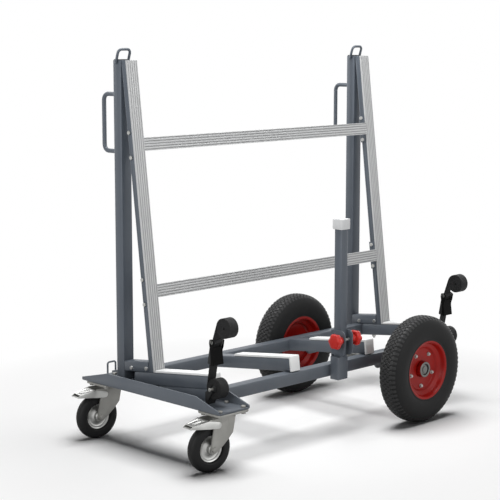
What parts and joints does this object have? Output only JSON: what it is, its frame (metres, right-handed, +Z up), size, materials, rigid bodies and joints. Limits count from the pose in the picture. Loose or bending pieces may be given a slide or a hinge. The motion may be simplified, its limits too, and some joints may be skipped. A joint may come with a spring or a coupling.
{
  "type": "slab buggy",
  "caption": "Long low cart with a leaning rack that carries stone slabs on edge, with swivel castors, pneumatic wheels, a front stake and strap ratchets.",
  "frame": {"origin": "middle of the plan, on the floor", "axes": "+X along the cart from the castor end to the big wheels, +Y from the loading side to the rack, +Z up"},
  "size_m": [1.4374, 0.7734, 1.3717],
  "materials": {
    "black_plastic": "moulded black",
    "black_steel": "black passivated steel",
    "castor_rubber": "black, matt",
    "pale_pad": "pale grey, matt",
    "red_paint": "red enamel on pressed steel",
    "red_plastic": "moulded red",
    "ribbed_alloy": "extruded, satin, ribbed face",
    "slate_paint": "slate-grey semi-gloss enamel",
    "tyre_rubber": "black tread rubber",
    "webbing": "woven polyester, black",
    "zinc": "zinc plated"
  },
  "bodies": {
    "chassis": {"axle": "zinc", "castor_back_plate": "zinc", "castor_front_plate": "zinc", "channel_packer": "slate_paint", "clamp_screw": "zinc", "crossbar_lower": "ribbed_alloy", "crossbar_lower_bracket_left": "slate_paint", "crossbar_lower_bracket_right": "slate_paint", "crossbar_upper": "ribbed_alloy", "crossbar_upper_bracket_left": "slate_paint", "crossbar_upper_bracket_right": "slate_paint", "end_channel": "slate_paint", "front_beam": "slate_paint", "lean_post_left": "slate_paint", "lean_post_right": "slate_paint", "post_clamp": "slate_paint", "post_sleeve": "slate_paint", "rack_foot_left": "slate_paint", "rack_foot_right": "slate_paint", "ratchet_left_frame": "black_steel", "ratchet_right_frame": "black_steel", "rear_beam": "slate_paint", "ribbed_post_left": "ribbed_alloy", "ribbed_post_right": "ribbed_alloy", "strap_cradle_left": "black_steel", "strap_cradle_right": "black_steel", "strap_webbing_left": "webbing", "strap_webbing_right": "webbing", "support_bar_1": "slate_paint", "support_bar_2": "slate_paint", "support_bar_3": "slate_paint", "support_bar_4": "slate_paint", "support_pad_1": "pale_pad", "support_pad_2": "pale_pad", "support_pad_3": "pale_pad", "support_pad_4": "pale_pad", "upright_cap_left": "black_plastic", "upright_cap_right": "black_plastic", "upright_left": "slate_paint", "upright_right": "slate_paint"},
    "castor_front_fork": {"castor_front_fork": "zinc"},
    "castor_front_wheel": {"castor_front_tyre": "castor_rubber", "castor_front_wheel_core": "zinc"},
    "castor_front_pedal": {"castor_front_brake_pedal": "zinc"},
    "castor_back_fork": {"castor_back_fork": "zinc"},
    "castor_back_wheel": {"castor_back_tyre": "castor_rubber", "castor_back_wheel_core": "zinc"},
    "castor_back_pedal": {"castor_back_brake_pedal": "zinc"},
    "wheel_front": {"wheel_front_tyre": "tyre_rubber", "wheel_front_rim": "red_paint", "wheel_front_hub": "zinc"},
    "wheel_back": {"wheel_back_tyre": "tyre_rubber", "wheel_back_rim": "red_paint", "wheel_back_hub": "zinc"},
    "front_post": {"front_post": "slate_paint", "front_post_cap": "pale_pad"},
    "star_knob_left": {"star_knob_left": "red_plastic"},
    "star_knob_right": {"star_knob_right": "red_plastic"},
    "ratchet_left_lever": {"ratchet_left_lever": "black_steel"},
    "ratchet_right_lever": {"ratchet_right_lever": "black_steel"}
  },
  "joints": [
    {"name": "castor_front_swivel", "type": "hinge", "parent": "chassis", "child": "castor_front_fork", "pos_m": [-0.56927, -0.26869, 0.19], "axis": [0, 0, 1], "continuous": true},
    {"name": "castor_front_wheel_spin", "type": "hinge", "parent": "castor_front_fork", "child": "castor_front_wheel", "pos_m": [-0.62882, -0.26138, 0.08], "axis": [0.1219, 0.9925, 0], "continuous": true},
    {"name": "castor_front_pedal_press", "type": "hinge", "parent": "castor_front_fork", "child": "castor_front_pedal", "pos_m": [-0.61195, -0.26345, 0.161], "axis": [-0.1219, -0.9925, 0], "range_deg": [0, 12]},
    {"name": "castor_back_swivel", "type": "hinge", "parent": "chassis", "child": "castor_back_fork", "pos_m": [-0.56927, 0.31331, 0.19], "axis": [0, 0, 1], "continuous": true},
    {"name": "castor_back_wheel_spin", "type": "hinge", "parent": "castor_back_fork", "child": "castor_back_wheel", "pos_m": [-0.62882, 0.32062, 0.08], "axis": [0.1219, 0.9925, 0], "continuous": true},
    {"name": "castor_back_pedal_press", "type": "hinge", "parent": "castor_back_fork", "child": "castor_back_pedal", "pos_m": [-0.61195, 0.31855, 0.161], "axis": [-0.1219, -0.9925, 0], "range_deg": [0, 12]},
    {"name": "wheel_front_spin", "type": "hinge", "parent": "chassis", "child": "wheel_front", "pos_m": [0.36173, -0.34069, 0.1985], "axis": [0, 1, 0], "continuous": true},
    {"name": "wheel_back_spin", "type": "hinge", "parent": "chassis", "child": "wheel_back", "pos_m": [0.36173, 0.29631, 0.1985], "axis": [0, 1, 0], "continuous": true},
    {"name": "front_post_slide", "type": "slide", "parent": "chassis", "child": "front_post", "axis": [0, 0, 1], "range_m": [0, 0.1]},
    {"name": "star_knob_left_turn", "type": "hinge", "parent": "chassis", "child": "star_knob_left", "pos_m": [0.03943, -0.24049, 0.336], "axis": [-1, 0, 0], "range_deg": [0, 720]},
    {"name": "star_knob_right_turn", "type": "hinge", "parent": "chassis", "child": "star_knob_right", "pos_m": [0.08403, -0.24049, 0.336], "axis": [1, 0, 0], "range_deg": [0, 720]},
    {"name": "ratchet_left_lever_swing", "type": "hinge", "parent": "chassis", "child": "ratchet_left_lever", "pos_m": [-0.56077, -0.22772, 0.42075], "axis": [-1, 0, 0], "range_deg": [0, 85]},
    {"name": "ratchet_right_lever_swing", "type": "hinge", "parent": "chassis", "child": "ratchet_right_lever", "pos_m": [0.66173, -0.22772, 0.42075], "axis": [-1, 0, 0], "range_deg": [0, 85]}
  ]
}
